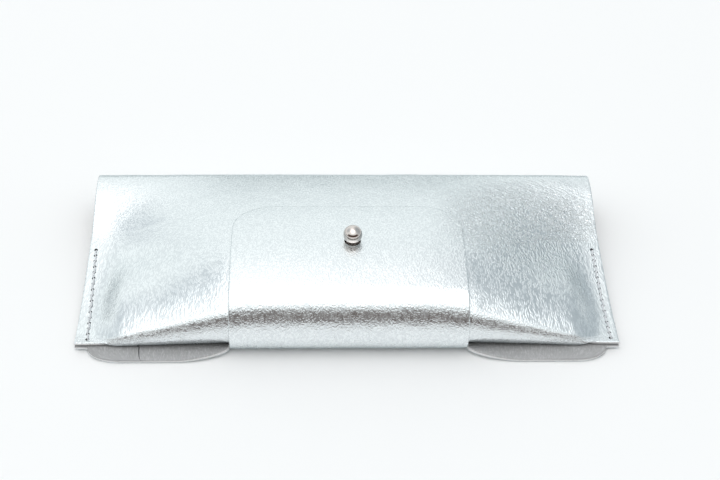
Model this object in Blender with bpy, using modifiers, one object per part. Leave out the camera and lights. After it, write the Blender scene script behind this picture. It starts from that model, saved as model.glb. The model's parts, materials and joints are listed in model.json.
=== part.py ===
"""Glasses case folded from one sheet of metallic leather and closed by a tongue over a ball stud.

The case lies on its back. X runs along its length, +Y points from the mouth to the fold,
and Z is up from the table. Lengths are in millimetres here, and metres in the scene.

The sheet runs from the front panel's mouth edge over the top, round the fold, back along
the table and up into the closing flap. A heading says which way it runs in the YZ plane:
0 degrees is towards -Y, 90 is up and 180 is towards +Y, so the sheet's heading only grows.
"""

import math

import bmesh
import bpy
from mathutils import Matrix, Vector
from mathutils.geometry import interpolate_bezier

MM = 0.001

# Leather
THICKNESS = 1.3
HALF = THICKNESS / 2
LENGTH = 170.0
MOUTH_Y = -38.0

# Bend round the mouth, shared by the front panel's rolled lip and the flap
BEND_Y = MOUTH_Y + 3.9
BEND_Z = 8.3
LIP_RADIUS = 5.85
FLAP_RADIUS = 7.65
FACE_START = 96.0
FACE_EXTRA = 11.7
RIDGE_START = 122.0
RIDGE_EXTRA = 2.7

# Front panel along its middle
CROWN_Y = MOUTH_Y + 23.6
LIP_START = 35.0
LIP_END = 167.5
FOLD_START_Y = MOUTH_Y + 72.1
FOLD_HEADING = 196.2

# Front panel along the stitched sides
SEAM_LENGTH = 44.3
SIDE_GAP = 0.3
SIDE_MOUTH_Z = 2.85
SIDE_SEAM_Z = 7.65
SIDE_FOLD_Y = MOUTH_Y + 70.0
SIDE_FOLD_Z = 15.35

# Where the domed middle fades into the flat stitched sides, as distances from the middle
DOME_EDGE = 32.0
SEAM_EDGE = 81.0
SIDE_LIP_END = 148.0
SIDE_LIP = 0.7
SIDE_LIP_SHRINK = 42.0
FULL_LIP_EDGE = 26.0
FLAT_LIP = 3.0

# Shoulders of the back panel, outside the mouth
SHOULDER_DEPTH = 5.8
SHOULDER_INSET = 4.0
SHOULDER_CORNER = 10.0
SHOULDER_FILLET = 17.5
SHOULDER_LIFT = 1.1

# Flap
FLAP_WIDTH = 73.8
FLAP_CORNER = 12.5
FLAP_TIP_Y = MOUTH_Y + 44.5
RISE_HEADING = 164.5
TONGUE_RADIUS = 120.0
HINGE_HEADINGS = (30.0, 72.0, 112.0, 154.0)
LINK_GAP = 0.4

# Buttonhole
SLOT_RADIUS = 3.8
SLOT_TOWARDS_TIP = 3.0
SLOT_TOWARDS_BEND = 0.6
LIPS_GAP = 0.15
HOLE_RADIUS = 2.35
SLIT_LENGTH = 2.6
SLIT_WIDTH = 0.5

# Ball stud and its screw, set a little right of the middle
STUD_X = 1.4
BALL_RADIUS = 3.0
BALL_ABOVE_FRONT = 4.67
NECK_RADIUS = 1.8
FLANGE_RADIUS = 4.0
FLANGE_THICKNESS = 0.5
BORE_RADIUS = 1.3
BORE_DEPTH = 3.2
SHANK_RADIUS = 1.0
SCREW_HEAD_RADIUS = 4.0
SCREW_HEAD_THICKNESS = 0.8
SCREWDRIVER_SLOT_WIDTH = 0.8
SCREWDRIVER_SLOT_DEPTH = 0.4
STUD_HOLE_RADIUS = 1.5
SEAT_GAP = 0.2

# Saddle stitch
STITCH_COUNT = 16
STITCH_PITCH = 2.45
FIRST_STITCH_Y = MOUTH_Y + 1.9
LEFT_INSETS = (3.8, 2.2)
RIGHT_INSETS = (2.5, 2.7)
THREAD_RADIUS = 0.22
THREAD_OFFSET = 0.28
THREAD_SEAT_GAP = 0.06
THREAD_CORNER = 0.25
STITCH_HOLE_RADIUS = 0.68


def clear_scene():
    for obj in list(bpy.data.objects):
        bpy.data.objects.remove(obj, do_unlink=True)


def new_collection(name):
    collection = bpy.data.collections.new(name)
    bpy.context.scene.collection.children.link(collection)
    return collection


def make_material(name, colour, roughness, metallic):
    material = bpy.data.materials.new(name)
    material.use_nodes = True
    shader = material.node_tree.nodes["Principled BSDF"]
    shader.inputs["Base Color"].default_value = (*colour, 1.0)
    shader.inputs["Roughness"].default_value = roughness
    shader.inputs["Metallic"].default_value = metallic
    material.diffuse_color = (*colour, 1.0)
    return material


def make_object(name, mesh, collection, material=None):
    obj = bpy.data.objects.new(name, mesh)
    collection.objects.link(obj)
    if material:
        mesh.materials.append(material)
    return obj


def smoothstep(value, low, high):
    t = min(max((value - low) / (high - low), 0.0), 1.0)
    return t * t * (3 - 2 * t)


# Paths in the YZ plane


def turn(start, radius, begin, end, steps):
    """Points after start along an arc that turns from one heading to another."""
    begin, end = math.radians(begin), math.radians(end)
    centre_y = start[0] + radius * math.sin(begin)
    centre_z = start[1] + radius * math.cos(begin)
    headings = [begin + (end - begin) * step / steps for step in range(1, steps + 1)]
    return [(centre_y - radius * math.sin(a), centre_z - radius * math.cos(a)) for a in headings]


def straight(start, end, steps):
    """Points after start along a straight line."""
    points = []
    for step in range(1, steps + 1):
        t = step / steps
        points.append((start[0] + (end[0] - start[0]) * t, start[1] + (end[1] - start[1]) * t))
    return points


def curve_between(start, start_slope, end, end_slope, steps):
    """Points after start along a smooth curve with the given slopes dz/dy at its ends."""
    reach = (end[0] - start[0]) / 3
    handles = (
        Vector((start[0], start[1])),
        Vector((start[0] + reach, start[1] + reach * start_slope)),
        Vector((end[0] - reach, end[1] - reach * end_slope)),
        Vector((end[0], end[1])),
    )
    return [(p.x, p.y) for p in interpolate_bezier(*handles, steps + 1)][1:]


def shifted(centre, radius, heading):
    angle = math.radians(heading)
    return (centre[0] - radius * math.sin(angle), centre[1] - radius * math.cos(angle))


BEND = (BEND_Y, BEND_Z)
FACE_CENTRE = shifted(BEND, -FACE_EXTRA, FACE_START)
RIDGE_CENTRE = shifted(FACE_CENTRE, FACE_EXTRA - RIDGE_EXTRA, RIDGE_START)


def on_bend(radius, heading):
    """The point of the wrap round the mouth where the sheet has this heading.

    The wrap is three arcs: a tight bend at the table, a steep face, and a ridge. Radius is
    that of the tight bend, and sheets of different radius lie at an even distance.
    """
    if heading <= FACE_START:
        return shifted(BEND, radius, heading)
    if heading <= RIDGE_START:
        return shifted(FACE_CENTRE, radius + FACE_EXTRA, heading)
    return shifted(RIDGE_CENTRE, radius + RIDGE_EXTRA, heading)


def wrap_headings(begin, end, step):
    """Headings of the wrap from one to another, with one wherever two arcs meet."""
    stops = [begin] + [h for h in (FACE_START, RIDGE_START) if begin < h < end] + [end]
    headings = [begin]
    for first, last in zip(stops, stops[1:]):
        count = max(math.ceil((last - first) / step), 1)
        headings += [first + (last - first) * n / count for n in range(1, count + 1)]
    return headings


def wrap(radius, begin, end, step):
    return [on_bend(radius, heading) for heading in wrap_headings(begin, end, step)]


def radius_to_reach(y_distance, turned):
    """Radius of an arc that covers a distance in Y while it turns to or from level."""
    return y_distance / math.sin(math.radians(turned))


RISE_STEPS = 5
FALL_STEPS = 7
FOLD_STEPS = 9
BACK_STEPS = 8


def mixed(first, second, share):
    return (first[0] * (1 - share) + second[0] * share, first[1] * (1 - share) + second[1] * share)


LIP_HEADINGS = wrap_headings(LIP_START, LIP_END, 12.5)
MOUTH_LIP = [on_bend(LIP_RADIUS, heading) for heading in LIP_HEADINGS]
LIP_STEPS = len(MOUTH_LIP) - 1


def middle_crown():
    """Highest point of the front panel's middle surface."""
    rise_radius = radius_to_reach(CROWN_Y - MOUTH_LIP[-1][0], 180 - LIP_END)
    return turn(MOUTH_LIP[-1], rise_radius, LIP_END, 180, 1)[-1]


def middle_back():
    """Middle surface of fold and back along the centre line."""
    fall_radius = radius_to_reach(FOLD_START_Y - CROWN_Y, FOLD_HEADING - 180)
    points = turn(CROWN, fall_radius, 180, FOLD_HEADING, 1)
    fold_radius = (points[0][1] - HALF) / (1 + math.cos(math.radians(FOLD_HEADING - 180)))
    points += turn(points[0], fold_radius, FOLD_HEADING, 360, FOLD_STEPS)
    return points + straight(points[-1], (BEND_Y, HALF), BACK_STEPS)


def side_back():
    """The same rows of points along a stitched side edge."""
    points = [(SIDE_FOLD_Y, SIDE_FOLD_Z)]
    points += turn(points[0], (SIDE_FOLD_Z - HALF) / 2, 180, 360, FOLD_STEPS)
    under_seam = (SEAM_END[0], SIDE_SEAM_Z - THICKNESS - SIDE_GAP)
    under_mouth = (BEND_Y, SIDE_MOUTH_Z - THICKNESS - SIDE_GAP)
    points += curve_between(points[-1], 0.0, under_seam, 0.16, 3)
    return points + curve_between(under_seam, 0.16, under_mouth, 0.0, BACK_STEPS - 3)


CROWN = middle_crown()
SIDE_MOUTH = (MOUTH_Y, SIDE_MOUTH_Z)
SEAM_END = (MOUTH_Y + SEAM_LENGTH, SIDE_SEAM_Z)
SIDE_FRONT = [SIDE_MOUTH] + curve_between(SIDE_MOUTH, 0.0, SEAM_END, 0.16, 12)
MIDDLE_BACK = middle_back()
SIDE_BACK = side_back()


def dome_fade(x):
    """0 over the domed middle of the case, 1 along its stitched sides."""
    return smoothstep(abs(x), DOME_EDGE, SEAM_EDGE)


def lip_size(x):
    """The lip is full under the flap and shrinks like a cone towards each corner of the mouth."""
    cone = SIDE_LIP * min(max((SEAM_EDGE - abs(x)) / SIDE_LIP_SHRINK, 0.0), 1.0)
    return cone + (1 - SIDE_LIP) * (1 - smoothstep(abs(x), FULL_LIP_EDGE, FLAP_WIDTH / 2 + 3))


def lip_end(x):
    """Heading where the lip ends, which leaves a steeper rise above a smaller lip."""
    return SIDE_LIP_END + (LIP_END - SIDE_LIP_END) * smoothstep(lip_size(x), SIDE_LIP, 1.0)


def lip_flatness(x):
    """How far the lip has gone over into a flat edge, towards each corner of the mouth."""
    return smoothstep(abs(x), SEAM_EDGE - 11, SEAM_EDGE)


def lip_at(x, mouth):
    """The rolled lip at one place along the case, from the mouth's edge upwards."""
    size, flat = lip_size(x), lip_flatness(x)
    ridge_share = (lip_end(x) - RIDGE_START) / (LIP_END - RIDGE_START)
    points = []
    for step, full_heading in enumerate(LIP_HEADINGS[1:], 1):
        heading = min(full_heading, RIDGE_START + (full_heading - RIDGE_START) * ridge_share)
        y, z = on_bend(LIP_RADIUS, heading)
        rolled = (mouth[0] + size * (y - MOUTH_LIP[0][0]), mouth[1] + size * (z - MOUTH_LIP[0][1]))
        along = (mouth[0] + FLAT_LIP * step / LIP_STEPS, mouth[1])
        points.append(mixed(rolled, along, flat))
    return points


def body_column(x):
    """Middle surface from the mouth's edge to the back, at one place along the case."""
    fade = dome_fade(x)
    mouth = mixed(MOUTH_LIP[0], SIDE_MOUTH, fade)
    crown = mixed(CROWN, SEAM_END, fade)
    back = [mixed(first, second, fade) for first, second in zip(MIDDLE_BACK, SIDE_BACK)]
    lip_slope = math.tan(math.radians(180 - lip_end(x))) * (1 - lip_flatness(x))
    fold_slope = math.tan(math.radians(180 - FOLD_HEADING)) * (1 - fade)
    points = [mouth] + lip_at(x, mouth)
    points += curve_between(points[-1], lip_slope, crown, 0.16 * fade, RISE_STEPS)
    points += curve_between(crown, 0.16 * fade, back[0], fold_slope, FALL_STEPS)
    return [Vector((x, y, z)) for y, z in points + back[1:]]


# Shoulders and the root of the flap, beyond the last row of the back panel

APRON_ROWS = (0.0, 0.06, 0.35, 0.62, 0.82, 0.94, 1.0)


def shoulder_reach(x):
    """How far the shoulder runs out past the mouth line at this distance along the case."""
    into_fillet = FLAP_WIDTH / 2 + SHOULDER_FILLET - abs(x)
    if into_fillet <= 0:
        return SHOULDER_DEPTH
    return SHOULDER_DEPTH * math.sqrt(max(1 - (into_fillet / SHOULDER_FILLET) ** 2, 0.01))


def shoulder_x(x, out):
    """Pulls the outer columns in, so that the shoulder has a step and a rounded corner."""
    if out <= 0:
        return x
    outer = LENGTH / 2
    inner = outer - SHOULDER_INSET - SHOULDER_CORNER - 8.0
    if abs(x) <= inner:
        return x
    round_off = SHOULDER_CORNER * (1 - math.sqrt(1 - out * out))
    edge = outer - SHOULDER_INSET - round_off
    return math.copysign(inner + (abs(x) - inner) * (edge - inner) / (outer - inner), x)


def apron_point(out, x):
    """A point of the sheet past the back panel: out is 0 at the mouth line and 1 at the edge."""
    if abs(x) <= FLAP_WIDTH / 2 + 0.01:
        start = math.degrees(math.asin((BEND_Y - MOUTH_Y) / FLAP_RADIUS)) * 0.6
        heading = start + (HINGE_HEADINGS[0] - start) * out
        y, z = on_bend(FLAP_RADIUS, heading)
        return Vector((x, y, z))
    lift = SHOULDER_LIFT * (1 - smoothstep(abs(x), FLAP_WIDTH / 2, FLAP_WIDTH / 2 + SHOULDER_FILLET))
    fade = dome_fade(x)
    mouth_z = HALF * (1 - fade) + SIDE_BACK[-1][1] * fade
    z = mouth_z * (1 - out) + HALF * out + lift * (0.3 + 0.7 * out)
    return Vector((shoulder_x(x, out), MOUTH_Y - shoulder_reach(x) * out, z))


def body_columns():
    edge = FLAP_WIDTH / 2
    right = [12.5, 25.0, 31.0, edge, edge + 0.9, 43.0, 48.5, 54.0, 59.5, 65.0, 70.0, 74.5, 78.0, SEAM_EDGE]
    right.append(LENGTH / 2)
    return [-x for x in reversed(right)] + [0.0] + right


def grid_mesh(name, rows):
    """A mesh of quads over rows of points, all rows being the same length."""
    mesh = bpy.data.meshes.new(name)
    width = len(rows[0])
    points = [point * MM for row in rows for point in row]
    faces = []
    for row in range(len(rows) - 1):
        for column in range(width - 1):
            first = row * width + column
            faces.append((first, first + 1, first + width + 1, first + width))
    mesh.from_pydata(points, [], faces)
    return mesh


def thicken(obj):
    solidify = obj.modifiers.new("leather thickness", "SOLIDIFY")
    solidify.thickness = THICKNESS * MM
    solidify.offset = 0.0
    solidify.use_even_offset = True


def shade_round(obj, angle=40):
    """Smooth shading across gentle edges, with edges sharper than the angle kept crisp."""
    mesh = obj.data
    mesh.shade_smooth()
    mesh.set_sharp_from_angle(angle=math.radians(angle))


def apply_modifiers(obj):
    """Replaces the object's mesh by its evaluated mesh."""
    graph = bpy.context.evaluated_depsgraph_get()
    mesh = bpy.data.meshes.new_from_object(obj.evaluated_get(graph))
    obj.modifiers.clear()
    obj.data = mesh
    bpy.context.view_layer.update()


def cylinder_cutter(name, radius, centre, low, high, collection, sides=24):
    """A closed upright prism between two heights."""
    mesh = bpy.data.meshes.new(name)
    shape = bmesh.new()
    bmesh.ops.create_cone(
        shape, cap_ends=True, segments=sides, radius1=radius * MM, radius2=radius * MM, depth=(high - low) * MM
    )
    shape.to_mesh(mesh)
    shape.free()
    cutter = make_object(name, mesh, collection)
    cutter.location = Vector((centre[0], centre[1], (low + high) / 2)) * MM
    hide_cutter(cutter)
    return cutter


def hide_cutter(cutter):
    cutter.hide_render = True
    cutter.display_type = "WIRE"


def cut(obj, cutter, operation="DIFFERENCE"):
    boolean = obj.modifiers.new(cutter.name, "BOOLEAN")
    boolean.object = cutter
    boolean.operation = operation
    boolean.solver = "EXACT"


def joined(name, pieces, collection):
    """One mesh object holding several closed shapes that stay clear of each other."""
    shape = bmesh.new()
    for piece in pieces:
        mesh = piece.data.copy()
        bpy.context.view_layer.update()
        mesh.transform(piece.matrix_world)
        shape.from_mesh(mesh)
        bpy.data.meshes.remove(mesh)
        bpy.data.objects.remove(piece, do_unlink=True)
    mesh = bpy.data.meshes.new(name)
    shape.to_mesh(mesh)
    shape.free()
    result = make_object(name, mesh, collection)
    hide_cutter(result)
    return result


# Stitching


def stitch_positions(side):
    """Hole centres of one seam, whose inset changes a little from the mouth to its end."""
    at_mouth, at_end = LEFT_INSETS if side < 0 else RIGHT_INSETS
    holes = []
    for step in range(STITCH_COUNT + 1):
        inset = at_mouth + (at_end - at_mouth) * step / STITCH_COUNT
        holes.append((side * (LENGTH / 2 - inset), FIRST_STITCH_Y + STITCH_PITCH * step))
    return holes


def height_at(path, y):
    """Height of a path of (y, z) points where it crosses y, held level past its end."""
    for before, after in zip(path, path[1:]):
        low, high = sorted((before[0], after[0]))
        if low <= y <= high and high > low:
            t = (y - before[0]) / (after[0] - before[0])
            return before[1] + (after[1] - before[1]) * t
    return path[-1][1]


def seam_top(y):
    return height_at(SIDE_FRONT, y) + HALF


def seam_bottom(y):
    return height_at(SIDE_BACK[-(BACK_STEPS - 2) :], y) - HALF


def stitch_hole_cutter(collection):
    holes = []
    for side in (-1, 1):
        for hole in stitch_positions(side):
            holes.append(cylinder_cutter("stitch_hole", STITCH_HOLE_RADIUS, hole, -2.0, 12.0, collection, 6))
    return joined("stitch_holes", holes, collection)


def thread_corners(side):
    """Corners of a saddle stitch: out with every other stitch, and back with the rest."""
    clear = THREAD_SEAT_GAP + THREAD_RADIUS
    holes = list(enumerate(stitch_positions(side)))
    forward = [(x, y - THREAD_OFFSET, step % 2 == 0) for step, (x, y) in holes]
    backward = [(x, y + THREAD_OFFSET, step % 2 == 0) for step, (x, y) in reversed(holes[1:-1])]
    corners = []
    for x, y, goes_up in forward + backward:
        below = Vector((x, y, seam_bottom(y) - clear))
        above = Vector((x, y, seam_top(y) + clear))
        corners += [below, above] if goes_up else [above, below]
    return corners


def thread_path(side):
    """Closed centre line of the thread, with each corner cut off so that the thread bends gently."""
    corners = thread_corners(side)
    points = []
    for before, corner, after in zip(corners[-1:] + corners[:-1], corners, corners[1:] + corners[:1]):
        points.append(corner + (before - corner).normalized() * THREAD_CORNER)
        points.append(corner + (after - corner).normalized() * THREAD_CORNER)
    return points


def make_thread(name, side, collection, material):
    curve = bpy.data.curves.new(name, "CURVE")
    curve.dimensions = "3D"
    curve.bevel_depth = THREAD_RADIUS * MM
    curve.bevel_resolution = 1
    spline = curve.splines.new("POLY")
    points = thread_path(side)
    spline.points.add(len(points) - 1)
    for target, point in zip(spline.points, points):
        target.co = (*(point * MM), 1.0)
    spline.use_cyclic_u = True
    obj = bpy.data.objects.new(name, curve)
    collection.objects.link(obj)
    curve.materials.append(material)
    return obj


# Leather pieces


def make_body(collection, cutters, leather):
    columns = body_columns()
    rows = [list(row) for row in zip(*(body_column(x) for x in columns))]
    rows += [[apron_point(out, x) for x in columns] for out in APRON_ROWS]
    body = make_object("leather_body", grid_mesh("leather_body", rows), collection, leather)
    thicken(body)
    cut(body, stitch_hole_cutter(cutters))
    stud_hole = cylinder_cutter("stud_hole", STUD_HOLE_RADIUS, (STUD_X, CROWN_Y), 16.0, 28.0, cutters)
    cut(body, stud_hole)
    return body


def gap_turn(heading):
    """Heading the wrap turns through over half a gap between two links."""
    extra = 0.0 if heading <= FACE_START else FACE_EXTRA if heading <= RIDGE_START else RIDGE_EXTRA
    return math.degrees(LINK_GAP / 2 / (FLAP_RADIUS + extra))


def strip(name, path, collection, leather):
    half = FLAP_WIDTH / 2
    rows = [[Vector((x, y, z)) for x in (-half, half)] for y, z in path]
    obj = make_object(name, grid_mesh(name, rows), collection, leather)
    thicken(obj)
    return obj


def tongue_path():
    begin = HINGE_HEADINGS[3] + gap_turn(HINGE_HEADINGS[3])
    points = wrap(FLAP_RADIUS, begin, RISE_HEADING, 5.0)
    rise_radius = radius_to_reach(CROWN_Y - points[-1][0], 180 - RISE_HEADING)
    points += turn(points[-1], rise_radius, RISE_HEADING, 180, 6)
    fall = math.degrees(math.asin((FLAP_TIP_Y - CROWN_Y) / TONGUE_RADIUS))
    return points + turn(points[-1], TONGUE_RADIUS, 180, 180 + fall, 8)


def tongue_rows():
    """Rows of the tongue, each narrowed where the rounded tip corners cut it."""
    path = tongue_path()
    corner_start = FLAP_TIP_Y - FLAP_CORNER
    rows = [(y, z) for y, z in path if y < corner_start]
    for step in range(9):
        y = corner_start + FLAP_CORNER * math.sin(math.radians(90 * step / 8))
        rows.append((y, height_at(path, min(y, path[-1][0]))))
    return rows


def tongue_half_width(y):
    past = max(y - (FLAP_TIP_Y - FLAP_CORNER), 0.0)
    return FLAP_WIDTH / 2 - FLAP_CORNER + math.sqrt(max(FLAP_CORNER**2 - past**2, 0.0))


def slot_outline(radius, tip_reach, bend_reach):
    """Rounded slot round the stud, longer towards the tip of the flap."""
    points = []
    for step in range(9):
        angle = math.radians(180 * step / 8)
        points.append((radius * math.cos(angle), tip_reach + radius * math.sin(angle)))
    for step in range(9):
        angle = math.radians(180 + 180 * step / 8)
        points.append((radius * math.cos(angle), -bend_reach + radius * math.sin(angle)))
    return [Vector((STUD_X + x, CROWN_Y + y)) for x, y in points]


def keyhole_outline():
    """Round buttonhole with a slit cut on towards the tip of the flap."""
    half_slit = math.degrees(math.asin(SLIT_WIDTH / 2 / HOLE_RADIUS))
    points = []
    for step in range(17):
        angle = math.radians(90 + half_slit + (360 - 2 * half_slit) * step / 16)
        points.append((HOLE_RADIUS * math.cos(angle), HOLE_RADIUS * math.sin(angle)))
    points.append((SLIT_WIDTH / 2, HOLE_RADIUS + SLIT_LENGTH))
    points.append((-SLIT_WIDTH / 2, HOLE_RADIUS + SLIT_LENGTH))
    return [Vector((STUD_X + x, CROWN_Y + y)) for x, y in points]


def outline_cutter(name, outline, low, high, collection):
    """A closed upright prism over an anticlockwise outline."""
    mesh = bpy.data.meshes.new(name)
    shape = bmesh.new()
    bottom = [shape.verts.new(Vector((p.x, p.y, low)) * MM) for p in outline]
    face = shape.faces.new(bottom)
    raised = bmesh.ops.extrude_face_region(shape, geom=[face])["geom"]
    top = [part for part in raised if isinstance(part, bmesh.types.BMVert)]
    bmesh.ops.translate(shape, verts=top, vec=Vector((0, 0, high - low)) * MM)
    bmesh.ops.recalc_face_normals(shape, faces=shape.faces)
    shape.to_mesh(mesh)
    shape.free()
    cutter = make_object(name, mesh, collection)
    hide_cutter(cutter)
    return cutter


def tongue_sheet(name, rows_yz, collection, leather, columns):
    rows = []
    for y, z in rows_yz:
        half = tongue_half_width(y)
        rows.append([Vector((half * t, y, z)) for t in columns])
    obj = make_object(name, grid_mesh(name, rows), collection, leather)
    thicken(obj)
    return obj


def make_flap(collection, cutters, leather):
    names = ("flap_lower_bend", "flap_middle_bend", "flap_upper_bend")
    links = []
    for name, begin, end in zip(names, HINGE_HEADINGS, HINGE_HEADINGS[1:]):
        path = wrap(FLAP_RADIUS, begin + gap_turn(begin), end - gap_turn(end), 7.0)
        links.append(strip(name, path, collection, leather))
    tongue = tongue_sheet("flap_tongue", tongue_rows(), collection, leather, (-1, -0.5, 0, 0.5, 1))
    slot = slot_outline(SLOT_RADIUS, SLOT_TOWARDS_TIP, SLOT_TOWARDS_BEND)
    cut(tongue, outline_cutter("tongue_slot", slot, 14.0, 36.0, cutters))
    return [*links, tongue]


def make_lips(collection, cutters, leather):
    """The flexible rim of the buttonhole, which fills the slot in the tongue."""
    lips = tongue_sheet("buttonhole_lips", tongue_path(), collection, leather, (-1, 1))
    outer = slot_outline(SLOT_RADIUS - LIPS_GAP, SLOT_TOWARDS_TIP, SLOT_TOWARDS_BEND)
    cut(lips, outline_cutter("lips_outline", outer, 14.0, 36.0, cutters), "INTERSECT")
    cut(lips, outline_cutter("keyhole", keyhole_outline(), 14.0, 36.0, cutters))
    return lips


# Stud


def front_outer_z():
    return CROWN[1] + HALF


def lathe(name, profile, collection, material, steps=32):
    """Solid of revolution about a vertical axis through the stud, from (radius, height) points."""
    mesh = bpy.data.meshes.new(name)
    points = [Vector((radius, 0, height)) * MM for radius, height in profile]
    edges = [(index, index + 1) for index in range(len(points) - 1)]
    mesh.from_pydata(points, edges, [])
    obj = make_object(name, mesh, collection, material)
    obj.location = Vector((STUD_X, CROWN_Y, 0)) * MM
    screw = obj.modifiers.new("turned", "SCREW")
    screw.steps = steps
    screw.render_steps = steps
    screw.use_merge_vertices = True
    screw.merge_threshold = 0.000001
    screw.use_smooth_shade = True
    return obj


def ball_arc(centre_z):
    """Outline of the ball from its top down to the neck."""
    meet = math.degrees(math.asin(NECK_RADIUS / BALL_RADIUS))
    points = []
    for step in range(15):
        angle = math.radians((180 - meet) * step / 14)
        points.append((BALL_RADIUS * math.sin(angle), centre_z + BALL_RADIUS * math.cos(angle)))
    points[0] = (0.0, centre_z + BALL_RADIUS)
    return points


def make_stud_post(collection, metal):
    seat = front_outer_z() + SEAT_GAP
    flange_top = seat + FLANGE_THICKNESS
    profile = ball_arc(front_outer_z() + BALL_ABOVE_FRONT)
    profile += [(NECK_RADIUS, flange_top + 0.2), (NECK_RADIUS + 0.2, flange_top)]
    profile += [(FLANGE_RADIUS - 0.15, flange_top), (FLANGE_RADIUS, flange_top - 0.15), (FLANGE_RADIUS, seat)]
    profile += [(BORE_RADIUS, seat), (BORE_RADIUS, seat + BORE_DEPTH), (0.0, seat + BORE_DEPTH + 0.5)]
    return lathe("stud_post", profile, collection, metal)


def make_stud_screw(collection, cutters, metal):
    head_top = front_outer_z() - THICKNESS - SEAT_GAP
    head_bottom = head_top - SCREW_HEAD_THICKNESS
    shank_top = front_outer_z() + SEAT_GAP + BORE_DEPTH - 0.4
    profile = [(0.0, shank_top), (SHANK_RADIUS - 0.2, shank_top), (SHANK_RADIUS, shank_top - 0.2)]
    profile += [(SHANK_RADIUS, head_top), (SCREW_HEAD_RADIUS, head_top)]
    profile += [(SCREW_HEAD_RADIUS, head_bottom + 0.25), (SCREW_HEAD_RADIUS - 0.25, head_bottom)]
    profile += [(0.0, head_bottom)]
    screw = lathe("stud_screw", profile, collection, metal)
    slot = bpy.data.meshes.new("screwdriver_slot")
    shape = bmesh.new()
    size = Vector((3 * SCREW_HEAD_RADIUS, SCREWDRIVER_SLOT_WIDTH, 2 * SCREWDRIVER_SLOT_DEPTH)) * MM
    bmesh.ops.create_cube(shape, size=1.0, matrix=Matrix.Diagonal((*size, 1.0)))
    shape.to_mesh(slot)
    shape.free()
    cutter = make_object("screwdriver_slot", slot, cutters)
    cutter.location = Vector((STUD_X, CROWN_Y, head_bottom)) * MM
    hide_cutter(cutter)
    cut(screw, cutter)
    return screw


def main():
    clear_scene()
    case = new_collection("glasses_case")
    cutters = new_collection("cutters")
    leather = make_material("metallic_leather", (0.72, 0.74, 0.76), 0.4, 0.75)
    metal = make_material("nickel_plate", (0.66, 0.66, 0.67), 0.12, 1.0)
    thread = make_material("seam_thread", (0.74, 0.76, 0.79), 0.6, 0.0)
    body = make_body(case, cutters, leather)
    flap = make_flap(case, cutters, leather)
    lips = make_lips(case, cutters, leather)
    for piece in (body, lips, *flap):
        bpy.context.view_layer.update()
        apply_modifiers(piece)
        shade_round(piece)
    make_stud_post(case, metal)
    make_stud_screw(case, cutters, metal)
    make_thread("left_seam_thread", -1, case, thread)
    make_thread("right_seam_thread", 1, case, thread)


main()
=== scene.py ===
"""Looks of a silver leather glasses case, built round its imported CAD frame.

Leather is modelled as a sheet: a grid of points on its middle surface, rows running from
the front panel's mouth edge over the top, round the fold, back along the table and up
into the flap. A heading says which way the sheet runs in the YZ plane: 0 degrees is
towards -Y, 90 is up and 180 is towards +Y. Lengths are in millimetres until a mesh is made.
"""

import json
import math

import bmesh
import bpy
import numpy as np
from mathutils import Matrix, Vector, noise


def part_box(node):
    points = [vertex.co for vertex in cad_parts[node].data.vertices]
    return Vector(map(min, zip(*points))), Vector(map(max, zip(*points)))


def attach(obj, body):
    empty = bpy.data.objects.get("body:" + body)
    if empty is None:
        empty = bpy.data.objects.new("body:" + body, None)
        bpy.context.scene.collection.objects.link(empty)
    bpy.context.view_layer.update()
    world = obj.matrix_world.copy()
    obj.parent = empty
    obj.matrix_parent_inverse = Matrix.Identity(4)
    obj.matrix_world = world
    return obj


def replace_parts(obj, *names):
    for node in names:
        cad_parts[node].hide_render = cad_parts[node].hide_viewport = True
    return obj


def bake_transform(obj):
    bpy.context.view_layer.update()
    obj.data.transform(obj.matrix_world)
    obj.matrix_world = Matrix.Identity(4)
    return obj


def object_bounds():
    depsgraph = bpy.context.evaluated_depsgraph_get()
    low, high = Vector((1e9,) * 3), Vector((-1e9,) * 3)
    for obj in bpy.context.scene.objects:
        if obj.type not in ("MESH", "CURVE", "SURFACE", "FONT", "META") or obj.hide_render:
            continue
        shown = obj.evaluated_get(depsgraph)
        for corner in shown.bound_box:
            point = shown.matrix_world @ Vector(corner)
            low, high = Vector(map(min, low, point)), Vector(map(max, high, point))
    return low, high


MM = 0.001

# Leather sheet
THICKNESS = 1.3
HALF = THICKNESS / 2
EDGE_ROUNDING = 0.38
EDGE_STEPS = (0.07, 0.18, 0.38, 0.75)
GRID_STEP = 1.0

# Wrap round the mouth: a tight bend at the table, a steep face, and a ridge
MOUTH_TO_BEND = 3.9
FACE_START = 96.0
FACE_EXTRA = 11.7
RIDGE_START = 122.0
RIDGE_EXTRA = 2.7

# Shape of the pouch along its middle
LIP_RADIUS = 5.85
LIP_START = 35.0
LIP_END = 167.5
SIDE_LIP_END = 148.0
SIDE_LIP = 0.73
SIDE_LIP_SHRINK = 42.0
FULL_LIP_EDGE = 26.0
FLAT_LIP = 3.0
FOLD_START = 72.1
FOLD_HEADING = 196.2

# Shape of the pouch along its stitched sides
SEAM_END = 44.3
SIDE_MOUTH_Z = 2.6
SIDE_SEAM_Z = 7.65
SIDE_SLOPE = 0.16
SEAM_PRESSING = 0.2
FLAT_BESIDE_SEAM = (79.0, 82.0)
PRESSED_BESIDE_SEAM = (74.0, 80.0)
SIDE_SPACING = 1.38
SIDE_FOLD = 70.0
SIDE_FOLD_Z = 15.35
DOME_EDGE = 32.0
SEAM_EDGE = 81.0
FLAT_CORNER = 11.0

# Shoulders
SHOULDER_INSET = 4.0
SHOULDER_CORNER = 10.0
SHOULDER_FILLET = 17.5
SHOULDER_LIFT = 1.1

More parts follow.
